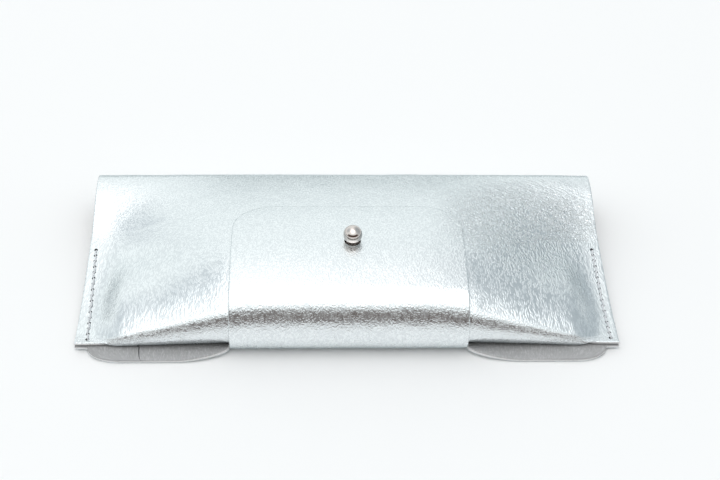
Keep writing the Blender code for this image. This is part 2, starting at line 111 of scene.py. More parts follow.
# Flap, and the headings at its hinges and where its pieces meet
HINGE_HEADINGS = (30.0, 72.0, 112.0, 154.0)
PIECE_HEADINGS = (28.5, 51.0, 92.0, 133.0)
RISE_HEADING = 164.5
TONGUE_RADIUS = 120.0
FLAP_CORNER = 12.5
FLAP_DROOP = 1.0
HOLE_RADIUS = 2.65
SLIT_LENGTH = 2.6
SLIT_WIDTH = 0.35
FLAP_SHEET_START = 400.0

# Stitches
STITCH_COUNT = 16
STITCH_PITCH = 2.45
FIRST_STITCH = 1.9
LEFT_INSETS = (3.8, 2.2)
RIGHT_INSETS = (2.5, 2.7)
STITCH_HOLE_RADIUS = 0.6
STRAND_RADIUS = 0.17
STRAND_OFFSET = 0.15
STRAND_PITCH = 1.3
THREAD_LIFT = 0.12
THREAD_SLANT = 0.16

# Stud
BALL_RADIUS = 3.0
NECK_RADIUS = 1.8
FLANGE_THICKNESS = 0.5
BORE_RADIUS = 1.3
STUD_HOLE_RADIUS = 1.5

# Steps along the sheet: rows of the grid in each stretch of the pouch
RISE_STEPS, FALL_STEPS, FOLD_STEPS, BACK_STEPS = 24, 44, 36, 60
SEAM_STEPS = 36

# Camera
CAMERA_PLACE = (-11.5, -358.7, 290.8)
CAMERA_YAW = 2.53
CAMERA_PITCH = 37.62
CAMERA_ROLL = 1.52
CAMERA_LENS = 69.0

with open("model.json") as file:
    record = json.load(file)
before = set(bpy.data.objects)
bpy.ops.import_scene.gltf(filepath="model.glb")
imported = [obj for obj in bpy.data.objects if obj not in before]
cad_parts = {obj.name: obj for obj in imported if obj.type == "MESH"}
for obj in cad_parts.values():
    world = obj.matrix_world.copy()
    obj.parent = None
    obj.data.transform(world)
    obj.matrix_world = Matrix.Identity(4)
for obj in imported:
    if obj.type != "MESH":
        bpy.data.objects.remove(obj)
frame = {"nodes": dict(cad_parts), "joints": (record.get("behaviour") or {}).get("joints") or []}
cad_low, cad_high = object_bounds()


def box_mm(node):
    low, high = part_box(node)
    return np.array(low) / MM, np.array(high) / MM


HINGES = [np.array(joint["pos_m"][1:]) / MM for joint in frame["joints"]]
FIRST_TURN = math.radians(HINGE_HEADINGS[0])
BEND_ANGLE = math.radians(HINGE_HEADINGS[1]) - FIRST_TURN
GRAIN_RADIUS = np.linalg.norm(HINGES[1] - HINGES[0]) / 2 / math.sin(BEND_ANGLE / 2)
BEND = HINGES[0] + GRAIN_RADIUS * np.array([math.sin(FIRST_TURN), math.cos(FIRST_TURN)])
FLAP_RADIUS = GRAIN_RADIUS - HALF
MOUTH_Y = BEND[0] - MOUTH_TO_BEND
BODY_LOW, BODY_HIGH = box_mm("leather_body")
HALF_LENGTH = BODY_HIGH[0]
SHOULDER_DEPTH = MOUTH_Y - BODY_LOW[1]
FLAP_HALF, FLAP_TIP_Y = box_mm("flap_tongue")[1][:2]
STUD_LOW, STUD_HIGH = box_mm("stud_post")
STUD_X, CROWN_Y = ((STUD_LOW + STUD_HIGH) / 2)[:2]


# Small helpers


def smoothstep(value, low, high):
    t = np.clip((value - low) / (high - low), 0.0, 1.0)
    return t * t * (3 - 2 * t)


def new_object(name, mesh, material=None):
    obj = bpy.data.objects.new(name, mesh)
    bpy.context.scene.collection.objects.link(obj)
    if material:
        mesh.materials.append(material)
    return obj


def apply_modifiers(obj):
    graph = bpy.context.evaluated_depsgraph_get()
    mesh = bpy.data.meshes.new_from_object(obj.evaluated_get(graph))
    obj.modifiers.clear()
    obj.data = mesh


def shade(obj, sharp_degrees=48):
    obj.data.shade_smooth()
    obj.data.set_sharp_from_angle(angle=math.radians(sharp_degrees))


def remove(obj):
    bpy.data.objects.remove(obj, do_unlink=True)


# Paths in the YZ plane, as arrays of (y, z)


def turn(start, radius, begin, end, steps):
    """Points after start along an arc that turns from one heading to another."""
    begin, end = math.radians(begin), math.radians(end)
    centre = np.array([start[0] + radius * math.sin(begin), start[1] + radius * math.cos(begin)])
    headings = np.linspace(begin, end, steps + 1)[1:]
    return centre - radius * np.stack([np.sin(headings), np.cos(headings)], axis=1)


def line(start, end, steps):
    t = np.linspace(0, 1, steps + 1)[1:, None]
    return np.array(start) * (1 - t) + np.array(end) * t


def ease(start, start_slope, end, end_slope, steps):
    """Points after start along a smooth curve with the given slopes dz/dy at its ends."""
    start, end = np.array(start, float), np.array(end, float)
    reach = (end[0] - start[0]) / 3
    first = start + np.array([reach, reach * start_slope])
    second = end - np.array([reach, reach * end_slope])
    t = np.linspace(0, 1, steps + 1)[1:, None]
    near, far = 3 * t * (1 - t) ** 2, 3 * t**2 * (1 - t)
    return start * (1 - t) ** 3 + first * near + second * far + end * t**3


def shifted(centre, radius, heading):
    angle = math.radians(heading)
    return centre - radius * np.array([math.sin(angle), math.cos(angle)])


FACE_CENTRE = shifted(BEND, -FACE_EXTRA, FACE_START)
RIDGE_CENTRE = shifted(FACE_CENTRE, FACE_EXTRA - RIDGE_EXTRA, RIDGE_START)


def on_wrap(radius, heading):
    """The point of the wrap round the mouth where the sheet has this heading.

    Radius is that of the tight bend, and sheets of different radius lie at an even distance.
    """
    if heading <= FACE_START:
        return shifted(BEND, radius, heading)
    if heading <= RIDGE_START:
        return shifted(FACE_CENTRE, radius + FACE_EXTRA, heading)
    return shifted(RIDGE_CENTRE, radius + RIDGE_EXTRA, heading)


def wrap(radius, begin, end, spacing=0.6, steps=None):
    """Evenly spaced points of the wrap from one heading to another."""
    fine = np.array([on_wrap(radius, heading) for heading in np.linspace(begin, end, 400)])
    lengths = np.concatenate([[0], np.cumsum(np.linalg.norm(np.diff(fine, axis=0), axis=1))])
    at = np.linspace(0, lengths[-1], (steps or max(round(lengths[-1] / spacing), 1)) + 1)
    return np.stack([np.interp(at, lengths, fine[:, axis]) for axis in range(2)], axis=1)


def join(start, *parts):
    return np.concatenate([np.array([start]), *parts])


def mix(first, second, share):
    return first * (1 - share) + second * share


def middle_back():
    """Middle surface of fold and back along the centre line."""
    fall_radius = (MOUTH_Y + FOLD_START - CROWN_Y) / math.sin(math.radians(FOLD_HEADING - 180))
    fall = turn(CROWN, fall_radius, 180, FOLD_HEADING, 1)
    fold_radius = (fall[-1][1] - HALF) / (1 + math.cos(math.radians(FOLD_HEADING - 180)))
    fold = turn(fall[-1], fold_radius, FOLD_HEADING, 360, FOLD_STEPS)
    back = line(fold[-1], (BEND[0], HALF), BACK_STEPS)
    return join(fall[-1], fold, back)


def side_back():
    """The same rows along a stitched side edge, where the two panels lie together."""
    fold_start = (MOUTH_Y + SIDE_FOLD, SIDE_FOLD_Z)
    fold = turn(fold_start, (SIDE_FOLD_Z - HALF) / 2, 180, 360, FOLD_STEPS)
    under_seam = (SEAM_END_Y, SIDE_SEAM_Z - SIDE_SPACING)
    under_mouth = (BEND[0], SIDE_MOUTH_Z - SIDE_SPACING)
    under_open = ease(fold[-1], 0.0, under_seam, SIDE_SLOPE, BACK_STEPS - SEAM_STEPS)
    under = ease(under_seam, SIDE_SLOPE, under_mouth, 0.0, SEAM_STEPS)
    return join(fold_start, fold, under_open, under)


def middle_crown():
    """Highest point of the front panel, on its middle surface."""
    rise_radius = (CROWN_Y - MOUTH_LIP[-1][0]) / math.sin(math.radians(180 - LIP_END))
    return turn(MOUTH_LIP[-1], rise_radius, LIP_END, 180, 1)[-1]


SEAM_END_Y = MOUTH_Y + SEAM_END
MOUTH_LIP = wrap(LIP_RADIUS, LIP_START, LIP_END)
LIP_STEPS = len(MOUTH_LIP) - 1
CROWN = middle_crown()
MIDDLE_BACK = middle_back()
SIDE_BACK = side_back()
SIDE_MOUTH = (MOUTH_Y, SIDE_MOUTH_Z)
SIDE_FRONT = join(SIDE_MOUTH, ease(SIDE_MOUTH, 0.0, (SEAM_END_Y, SIDE_SEAM_Z), SIDE_SLOPE, 40))


def lip_size(distance):
    """The lip is full under the flap and shrinks like a cone towards each corner of the mouth."""
    cone = SIDE_LIP * float(np.clip((SEAM_EDGE - distance) / SIDE_LIP_SHRINK, 0, 1))
    return cone + (1 - SIDE_LIP) * (1 - float(smoothstep(distance, FULL_LIP_EDGE, FLAP_HALF + 3)))


def lip_at(distance, mouth):
    """The rolled lip, and the slope dz/dy where it ends."""
    size = lip_size(distance)
    flat = float(smoothstep(distance, SEAM_EDGE - FLAT_CORNER, SEAM_EDGE))
    end = mix(SIDE_LIP_END, LIP_END, float(smoothstep(size, SIDE_LIP, 1.0)))
    path = wrap(LIP_RADIUS, LIP_START, end, steps=LIP_STEPS)
    rolled = mouth + size * (path[1:] - path[0])
    lip = mix(rolled, line(mouth, mouth + np.array([FLAT_LIP, 0.0]), LIP_STEPS), flat)
    return lip, math.tan(math.radians(180 - end)) * (1 - flat)


def panel_column(x):
    """Middle surface from the mouth's edge to the back, at one place along the case."""
    fade = float(smoothstep(abs(x), DOME_EDGE, SEAM_EDGE))
    mouth = mix(MOUTH_LIP[0], SIDE_FRONT[0], fade)
    crown = mix(CROWN, SIDE_FRONT[-1], fade)
    back = mix(MIDDLE_BACK, SIDE_BACK, fade)
    fold_slope = math.tan(math.radians(180 - FOLD_HEADING)) * (1 - fade)
    lip, lip_slope = lip_at(abs(x), mouth)
    rise = ease(lip[-1], lip_slope, crown, SIDE_SLOPE * fade, RISE_STEPS)
    fall = ease(crown, SIDE_SLOPE * fade, back[0], fold_slope, FALL_STEPS)
    return join(mouth, lip, rise, fall, back[1:])


def height_at(path, y):
    """Height of a path whose y runs one way."""
    order = np.argsort(path[:, 0])
    return np.interp(y, path[order, 0], path[order, 1])


def seam_top(y):
    return height_at(SIDE_FRONT, y) + HALF * (1 - SEAM_PRESSING)


def seam_bottom(y):
    return height_at(SIDE_BACK[-SEAM_STEPS - 1 :], y) - HALF * (1 - SEAM_PRESSING)


# The pouch: front panel, fold, back panel, shoulders and the root of the flap


def pouch_columns():
    """Places along the case, symmetric, with a column on each edge of the flap."""
    inner = np.linspace(0, FLAP_HALF, round(FLAP_HALF / GRID_STEP) + 1)
    last = HALF_LENGTH - EDGE_STEPS[-1] - 0.8
    outer = np.linspace(FLAP_HALF + 0.7, last, round((last - FLAP_HALF) / GRID_STEP) + 1)
    edge = HALF_LENGTH - np.array([*EDGE_STEPS[::-1], 0.0])
    right = np.concatenate([inner[1:], outer, edge])
    return np.concatenate([-right[::-1], [0.0], right])


def panel_points(x):
    """Middle surface of front, fold and back: an array of rows by columns by 3."""
    yz = np.stack([panel_column(place) for place in x], axis=1)
    across = np.broadcast_to(x[None, :, None], (*yz.shape[:2], 1))
    return fine_mouth(np.concatenate([across, yz], axis=2))


def fine_mouth(points):
    """Adds rows close to the mouth's edge, so that its cut edge can be rounded."""
    steps = np.linalg.norm(points[1] - points[0], axis=1)
    rows = [points[0]]
    for distance in EDGE_STEPS[:2]:
        share = np.minimum(distance / np.maximum(steps, 1e-6), 0.5 * distance / EDGE_STEPS[1])
        rows.append(points[0] + (points[1] - points[0]) * share[:, None])
    return np.concatenate([np.array(rows), points[1:]])


def shoulder_reach(x):
    into_fillet = np.clip(FLAP_HALF + SHOULDER_FILLET - np.abs(x), 0, SHOULDER_FILLET)
    return SHOULDER_DEPTH * np.sqrt(np.maximum(1 - (into_fillet / SHOULDER_FILLET) ** 2, 0.01))


def shoulder_x(x, out):
    """Pulls the outer columns in, so that the shoulder has a step and a rounded corner."""
    if out <= 0:
        return x
    inner = HALF_LENGTH - SHOULDER_INSET - SHOULDER_CORNER - 8.0
    edge = HALF_LENGTH - SHOULDER_INSET - SHOULDER_CORNER * (1 - math.sqrt(1 - out * out))
    squeezed = inner + (np.abs(x) - inner) * (edge - inner) / (HALF_LENGTH - inner)
    return np.where(np.abs(x) > inner, np.sign(x) * squeezed, x)


def apron_points(x):
    """The sheet past the back panel: flap root in the middle, a shoulder on each side."""
    fade = smoothstep(np.abs(x), DOME_EDGE, SEAM_EDGE)
    mouth_z = HALF * (1 - fade) + SIDE_BACK[-1][1] * fade
    lift = SHOULDER_LIFT * (1 - smoothstep(np.abs(x), FLAP_HALF, FLAP_HALF + SHOULDER_FILLET))
    in_flap = np.abs(x) <= FLAP_HALF + 0.01
    start = math.degrees(math.asin(MOUTH_TO_BEND / FLAP_RADIUS)) * 0.6
    rows = []
    edge = 1 - np.array([0.55, 0.38, 0.18, 0.07, 0.0]) / SHOULDER_DEPTH
    for out in [0.0, 0.04, *np.sin(np.radians(np.linspace(8, 62, 9))), *edge]:
        y, z = on_wrap(FLAP_RADIUS, start + (PIECE_HEADINGS[0] - start) * out)
        shoulder_y = MOUTH_Y - shoulder_reach(x) * out
        shoulder_z = mouth_z * (1 - out) + HALF * out + lift * (0.3 + 0.7 * out)
        row = np.stack([shoulder_x(x, out), shoulder_y, shoulder_z], axis=1)
        row[in_flap, 1:] = y, z
        rows.append(row)
    return np.array(rows)


def unit_normals(points):
    """Normals of a grid of points, pointing to the grain side."""
    across = np.gradient(points, axis=1)
    along = np.gradient(points, axis=0)
    normals = np.cross(across, along)
    return normals / np.linalg.norm(normals, axis=2, keepdims=True)


def sheet_lengths(points):
    """Distance along the sheet from its first row, for each row, on the middle column."""
    column = points[:, points.shape[1] // 2]
    steps = np.linalg.norm(np.diff(column, axis=0), axis=1)
    return np.concatenate([[0.0], np.cumsum(steps)])


def soft_noise(x, s, size, seed):
    """Smooth noise over the flat sheet, about -1 to 1, with features of the given size."""
    values = [noise.noise(Vector((a / size, b / size, seed))) for a, b in zip(x.ravel(), s.ravel())]
    return np.array(values).reshape(x.shape)


def crease(x, s, start, end, width, depth, bow=0.0):
    """A shallow valley along a line over the flat sheet, tapering at both ends."""
    start, end = np.array(start, float), np.array(end, float)
    along = end - start
    length = np.linalg.norm(along)
    along /= length
    t = (x - start[0]) * along[0] + (s - start[1]) * along[1]
    across = -(x - start[0]) * along[1] + (s - start[1]) * along[0]
    part = np.clip(t / length, 0, 1)
    across = across - bow * 4 * part * (1 - part)
    taper = np.clip(np.sin(np.pi * part), 0, 1) ** 0.6
    taper = np.where((t > 0) & (t < length), taper, 0)
    return -depth * taper * np.exp(-((across / width) ** 2))


def pouch_relief(x, s, front_length):
    """How far the leather stands off its ideal shape, over the flat sheet."""
    relief = 0.16 * soft_noise(x, s, 21.0, 3.1) + 0.09 * soft_noise(x, s, 9.0, 7.7)
    relief += 0.035 * soft_noise(x, s, 3.6, 1.3)
    seam_s = front_length * 0.5
    for side in (-1, 1):
        focus = (side * 80.0, seam_s + 2.0)
        for index in range(9):
            angle = math.radians(62 + 9.5 * index)
            reach = 17.0 + 5.0 * math.sin(2.3 * index + side)
            far = (focus[0] - side * reach * math.sin(angle), focus[1] - reach * math.cos(angle) + 6.0)
            near = (focus[0] - side * 3.0 * math.sin(angle), focus[1] - 3.0 * math.cos(angle))
            depth = (0.16 if side > 0 else 0.06) + 0.06 * math.sin(5.1 * index)
            relief += crease(x, s, near, far, 0.9, depth, bow=side * 1.2)
    relief += crease(x, s, (-40.5, 30.0), (-44.0, 47.0), 1.1, 0.12, 1.0)
    relief += crease(x, s, (-43.5, 27.0), (-49.0, 42.0), 1.1, 0.12, 1.0)
    relief += crease(x, s, (40.5, 44.0), (41.5, 60.0), 1.0, 0.13, -0.8)
    relief += crease(x, s, (44.5, 40.0), (46.5, 55.0), 1.0, 0.11, -0.8)
    relief += crease(x, s, (50.0, 66.0), (66.0, 46.0), 1.2, 0.14, 2.0)
    return relief


def seam_relief(points):
    """Dimples at the stitch holes."""
    x, y = points[..., 0], points[..., 1]
    relief = np.zeros(x.shape)
    for side in (-1, 1):
        for hole_x, hole_y in stitch_positions(side):
            distance = np.hypot(x - hole_x, y - hole_y)
            relief -= 0.14 * np.exp(-((distance / 0.95) ** 2))
    return relief


def stitch_positions(side):
    at_mouth, at_end = LEFT_INSETS if side < 0 else RIGHT_INSETS
    steps = np.arange(STITCH_COUNT + 1)
    insets = at_mouth + (at_end - at_mouth) * steps / STITCH_COUNT
    y = MOUTH_Y + FIRST_STITCH + STITCH_PITCH * steps
    return np.stack([side * (HALF_LENGTH - insets), y], axis=1)


# From a grid of points to a closed leather shell

GRAIN, FLESH, CUT, HOLE = 0, 1, 2, 3


def half_thickness(edge_distance):
    """Half the leather's thickness, less towards a cut edge, which is rounded."""
    inward = np.clip(edge_distance / EDGE_ROUNDING, 0, 1)
    return HALF * (0.45 + 0.55 * np.sqrt(1 - (1 - inward) ** 2))


def shell(name, points, normals, half, flat, materials):
    """Closed shell of leather over a grid. flat holds each point's place on the flat sheet."""
    rows, columns = points.shape[:2]
    offset = half[..., None] * normals
    both = np.concatenate([(points + offset).reshape(-1, 3), (points - offset).reshape(-1, 3)])
    count = rows * columns
    index = np.arange(count).reshape(rows, columns)
    a, b, c, d = index[:-1, :-1], index[:-1, 1:], index[1:, 1:], index[1:, :-1]
    outer = np.stack([a, b, c, d], axis=-1).reshape(-1, 4)
    inner = np.stack([a, d, c, b], axis=-1).reshape(-1, 4) + count
    rims = []
    for loop in (index[0, ::-1], index[-1, :], index[:, 0], index[::-1, -1]):
        first, second = loop[:-1], loop[1:]
        rims.append(np.stack([first, second, second + count, first + count], axis=-1))
    rim = np.concatenate(rims)
    mesh = bpy.data.meshes.new(name)
    mesh.from_pydata((both * MM).tolist(), [], np.concatenate([outer, inner, rim]).tolist())
    for material in materials:
        mesh.materials.append(material)
    slots = np.repeat([GRAIN, FLESH, CUT], [len(outer), len(inner), len(rim)])
    mesh.polygons.foreach_set("material_index", slots.astype(np.int32))
    add_flat_coordinates(mesh, np.concatenate([flat.reshape(-1, 2)] * 2))
    mesh.update()
    return new_object(name, mesh)


def add_flat_coordinates(mesh, flat):
    """UV coordinates in centimetres of flat leather."""
    layer = mesh.uv_layers.new(name="sheet")
    vertex = np.zeros(len(mesh.loops), np.int32)
    mesh.loops.foreach_get("vertex_index", vertex)
    layer.data.foreach_set("uv", (flat[vertex] / 10).astype(np.float32).ravel())


def cut(obj, cutter):
    boolean = obj.modifiers.new("cut", "BOOLEAN")
    boolean.object = cutter
    boolean.solver = "EXACT"
    boolean.material_mode = "TRANSFER"
    apply_modifiers(obj)
    remove(cutter)


def prism(name, outlines, low, high, material):
    """Closed upright prisms over anticlockwise outlines, all in one mesh."""
    shape = bmesh.new()
    for outline in outlines:
        bottom = [shape.verts.new((px * MM, py * MM, low * MM)) for px, py in outline]
        face = shape.faces.new(bottom)
        raised = bmesh.ops.extrude_face_region(shape, geom=[face])["geom"]
        top = [part for part in raised if isinstance(part, bmesh.types.BMVert)]
        bmesh.ops.translate(shape, verts=top, vec=(0, 0, (high - low) * MM))
    bmesh.ops.recalc_face_normals(shape, faces=shape.faces)
    mesh = bpy.data.meshes.new(name)
    shape.to_mesh(mesh)
    shape.free()
    return new_object(name, mesh, material)


def ring(centre, radius, sides):
    angles = np.linspace(0, 2 * np.pi, sides, endpoint=False)
    return np.stack([centre[0] + radius * np.cos(angles), centre[1] + radius * np.sin(angles)], axis=1)


def pouch_edge_distance(x, points):
    """Distance of each grid point from the nearest cut edge of the pouch."""
    steps = np.linalg.norm(np.diff(points, axis=0), axis=2)
    from_mouth = np.concatenate([np.zeros((1, len(x))), np.cumsum(steps, axis=0)])
    to_end = from_mouth[-1] - from_mouth
    to_end[:, np.abs(x) <= FLAP_HALF + 0.01] = THICKNESS
    from_side = np.broadcast_to(HALF_LENGTH - np.abs(x), from_mouth.shape)
    return np.minimum(np.minimum(from_mouth, to_end), from_side)


def build_pouch(leather):
    x = pouch_columns()
    points = np.concatenate([panel_points(x), apron_points(x)])
    lengths = sheet_lengths(points)
    flat = np.stack(np.meshgrid(x, lengths), axis=-1)
    front_length = lengths[2 + LIP_STEPS + RISE_STEPS + FALL_STEPS]
    relief = pouch_relief(flat[..., 0], flat[..., 1], front_length)
    keep_flat = smoothstep(np.abs(points[..., 0]), *FLAT_BESIDE_SEAM) * (points[..., 1] < SEAM_END_Y)
    at_root = smoothstep(lengths, lengths[-1] - 16, lengths[-1] - 5)[:, None]
    underside = smoothstep(lengths, front_length + 18, front_length + 26)[:, None]
    relief = relief * (1 - 0.85 * keep_flat) * (1 - at_root) * (1 - 0.6 * underside)
    relief = relief + seam_relief(points)
    pressed = SEAM_PRESSING * smoothstep(np.abs(points[..., 0]), *PRESSED_BESIDE_SEAM)
    half = half_thickness(pouch_edge_distance(x, points)) * (1 - pressed)
    points = points + relief[..., None] * unit_normals(points)
    pouch = shell("pouch_leather", points, unit_normals(points), half, flat, leather)
    places = np.concatenate([stitch_positions(side) for side in (-1, 1)])
    holes = [ring(place, STITCH_HOLE_RADIUS, 10) for place in places]
    cut(pouch, prism("stitch_holes", holes, -2.0, 12.0, leather[HOLE]))
    stud_hole = ring((STUD_X, CROWN_Y), STUD_HOLE_RADIUS, 24)
    cut(pouch, prism("stud_hole", [stud_hole], 16.0, 28.0, leather[CUT]))
    shade(pouch)
    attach(pouch, "pouch")
    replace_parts(pouch, "leather_body")


# The flap


def flap_path():
    """Middle surface of the flap from its root to its tip, and the row where each piece ends."""
    parts, breaks = [np.array([on_wrap(FLAP_RADIUS, PIECE_HEADINGS[0])])], []
    for begin, end in zip(PIECE_HEADINGS, (*PIECE_HEADINGS[1:], RISE_HEADING)):
        parts.append(wrap(FLAP_RADIUS, begin, end, 0.45)[1:])
        breaks.append(sum(len(part) for part in parts) - 1)
    rise_radius = (CROWN_Y - parts[-1][-1][0]) / math.sin(math.radians(180 - RISE_HEADING))
    parts.append(turn(parts[-1][-1], rise_radius, RISE_HEADING, 180, 24))
    fall = math.degrees(math.asin((FLAP_TIP_Y - CROWN_Y) / TONGUE_RADIUS))
    parts.append(turn(parts[-1][-1], TONGUE_RADIUS, 180, 180 + fall, 16))
    return with_round_tip(np.concatenate(parts)), breaks[:3]


def with_round_tip(path):
    """Respaces the rows over the rounded tip corners, so that they step evenly round them."""
    corner_start = FLAP_TIP_Y - FLAP_CORNER
    on_top = path[:, 0] > RIDGE_CENTRE[0]
    kept = path[~((path[:, 0] > corner_start - 0.4) & on_top)]
    y = corner_start + FLAP_CORNER * np.sin(np.radians(np.linspace(0, 90, 24)))
    return np.concatenate([kept, np.stack([y, height_at(path[on_top], y)], axis=1)])


def past_corner(y):
    """How far a point of the flap lies into the rounded corners at the tip."""
    return np.clip(y - (FLAP_TIP_Y - FLAP_CORNER), 0, FLAP_CORNER)


def flap_points():
    path, breaks = flap_path()
    edge = 1 - np.array([*EDGE_STEPS[::-1], 0.0]) / FLAP_HALF
    inner = np.linspace(0, edge[0] - 0.8 / FLAP_HALF, round(FLAP_HALF / GRID_STEP))
    right = np.concatenate([inner[1:], edge])
    across = np.concatenate([-right[::-1], [0.0], right])
    past = past_corner(path[:, 0])
    half = FLAP_HALF - FLAP_CORNER + np.sqrt(FLAP_CORNER**2 - past**2)
    x = half[:, None] * across[None, :]
    y = np.broadcast_to(path[:, :1], x.shape)
    z = np.broadcast_to(path[:, 1:], x.shape)
    droop = FLAP_DROOP * smoothstep(path[:, 1], FACE_CENTRE[1], RIDGE_CENTRE[1] + 8.0)[:, None]
    z = z - droop * (x / FLAP_HALF) ** 4
    return np.stack([x, y, z], axis=-1), breaks


def flap_edge_distance(points):
    """Distance of each grid point of the flap from its cut edge."""
    side = FLAP_HALF - np.abs(points[..., 0])
    over = past_corner(points[..., 1])
    beyond = np.clip(FLAP_CORNER - side, 0, None)
    corner = FLAP_CORNER - np.hypot(over, beyond)
    return np.clip(np.where(over > 0, corner, side), 0, None)


def flap_relief(x, s):
    relief = 0.10 * soft_noise(x, s, 17.0, 11.2) + 0.05 * soft_noise(x, s, 7.0, 5.9)
    return relief + 0.02 * soft_noise(x, s, 3.2, 2.4)


def keyhole():
    half_slit = math.asin(SLIT_WIDTH / 2 / HOLE_RADIUS)
    angles = np.linspace(math.pi / 2 + half_slit, math.pi * 5 / 2 - half_slit, 33)
    circle = np.stack([HOLE_RADIUS * np.cos(angles), HOLE_RADIUS * np.sin(angles)], axis=1)
    slit_end = HOLE_RADIUS + SLIT_LENGTH
    slit = np.array([[SLIT_WIDTH / 2, slit_end], [-SLIT_WIDTH / 2, slit_end]])
    return np.concatenate([circle, slit]) + np.array([STUD_X, CROWN_Y])


def build_flap(leather):
    points, breaks = flap_points()
    lengths = sheet_lengths(points)
    flat = np.stack([points[..., 0], np.broadcast_to(lengths[:, None], points.shape[:2])], axis=-1)
    grows = smoothstep(lengths, 0.0, 9.0)[:, None]
    relief = flap_relief(flat[..., 0], flat[..., 1]) * grows
    half = half_thickness(flap_edge_distance(points))
    points = points + relief[..., None] * unit_normals(points)
    normals = unit_normals(points)
    flat = flat + np.array([0.0, FLAP_SHEET_START])
    nodes = ["flap_lower_bend", "flap_middle_bend", "flap_upper_bend", "flap_tongue"]
    names = ["flap_root_leather", "flap_lower_leather", "flap_middle_leather", "flap_tongue_leather"]
    edges = [0, *breaks, len(points) - 1]
    for part, (first, last) in enumerate(zip(edges, edges[1:])):
        rows = slice(first, last + 1)
        piece = shell(names[part], points[rows], normals[rows], half[rows], flat[rows], leather)
        if part == 3:
            cut(piece, prism("buttonhole", [keyhole()], 14.0, 36.0, leather[CUT]))
        shade(piece)
        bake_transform(piece)
        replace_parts(piece, nodes[part])
        if part == 3:
            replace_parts(piece, "buttonhole_lips")


# Thread


def thread_corners(side):
    """Where the thread turns, on its way to the end of the seam and back."""
    holes = list(enumerate(stitch_positions(side)))
    forward = [(hole, -0.12, step % 2 == 0) for step, hole in holes]
    backward = [(hole, 0.12, step % 2 == 0) for step, hole in reversed(holes[1:-1])]
    corners = []
    for (x, y), shift, goes_up in forward + backward:
        slant = THREAD_SLANT if shift < 0 else -THREAD_SLANT
        place = (x + slant, y + shift)
        below = np.array([*place, seam_bottom(y + shift) - THREAD_LIFT])
        above = np.array([*place, seam_top(y + shift) + THREAD_LIFT])
        corners += [below, above] if goes_up else [above, below]
    return np.array(corners)


def smooth_closed(points, rounds):
    """Cuts the corners of a closed path, again and again."""
    for _ in range(rounds):
        following = np.roll(points, -1, axis=0)
        gap = np.linalg.norm(following - points, axis=1, keepdims=True)
        share = np.minimum(0.25, 0.45 / np.maximum(gap, 1e-6))
        shift = (following - points) * share
        points = np.stack([points + shift, following - shift], axis=1).reshape(-1, 3)
    return points


def resample_closed(points, step):
    """Evenly spaced points along a closed path, and its length."""
    loop = np.concatenate([points, points[:1]])
    lengths = np.concatenate([[0], np.cumsum(np.linalg.norm(np.diff(loop, axis=0), axis=1))])
    count = round(lengths[-1] / step)
    at = np.linspace(0, lengths[-1], count, endpoint=False)
    return np.stack([np.interp(at, lengths, loop[:, axis]) for axis in range(3)], axis=1), lengths[-1]


def build_thread(name, side, material):
    """A two-strand twisted thread along a saddle stitch."""
    path, length = resample_closed(smooth_closed(thread_corners(side), 3), 0.16)
    tangent = np.roll(path, -1, axis=0) - np.roll(path, 1, axis=0)
    tangent /= np.linalg.norm(tangent, axis=1, keepdims=True)
    across = np.broadcast_to(np.array([1.0, 0.0, 0.0]), path.shape)
    across = across - (across * tangent).sum(axis=1, keepdims=True) * tangent
    across /= np.linalg.norm(across, axis=1, keepdims=True)
    upward = np.cross(tangent, across)
    turns = round(length / STRAND_PITCH)
    phase = np.linspace(0, 2 * np.pi * turns, len(path), endpoint=False)
    curve = bpy.data.curves.new(name, "CURVE")
    curve.dimensions = "3D"
    curve.bevel_depth = STRAND_RADIUS * MM
    curve.bevel_resolution = 1
    for strand in range(2):
        angle = phase + np.pi * strand
        round_path = across * np.cos(angle)[:, None] + upward * np.sin(angle)[:, None]
        line_points = path + STRAND_OFFSET * round_path
        spline = curve.splines.new("POLY")
        spline.points.add(len(line_points) - 1)
        flat = np.concatenate([line_points * MM, np.ones((len(line_points), 1))], axis=1)
        spline.points.foreach_set("co", flat.astype(np.float32).ravel())
        spline.use_cyclic_u = True
    temporary = new_object(name + "_path", curve)
    graph = bpy.context.evaluated_depsgraph_get()
    mesh = bpy.data.meshes.new_from_object(temporary.evaluated_get(graph))
    remove(temporary)
    thread = new_object(name, mesh, material)
    thread.data.shade_smooth()
    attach(thread, "pouch")
    return thread


# Stud


def lathe(name, profile, centre, material, steps=72):
    """Solid of revolution about a vertical axis, from (radius, height) points down its outside."""
    shape = bmesh.new()
    verts = [shape.verts.new((radius * MM, 0, height * MM)) for radius, height in profile]
    edges = [shape.edges.new(pair) for pair in zip(verts, verts[1:])]
    full_turn = {"cent": (0, 0, 0), "axis": (0, 0, 1), "angle": 2 * math.pi, "use_merge": True}
    bmesh.ops.spin(shape, geom=verts + edges, steps=steps, **full_turn)
    bmesh.ops.remove_doubles(shape, verts=shape.verts, dist=0.01 * MM)
    bmesh.ops.recalc_face_normals(shape, faces=shape.faces)
    mesh = bpy.data.meshes.new(name)
    shape.to_mesh(mesh)
    shape.free()
    obj = new_object(name, mesh, material)
    obj.location = (centre[0] * MM, centre[1] * MM, 0)
    shade(obj, 35)
    return obj


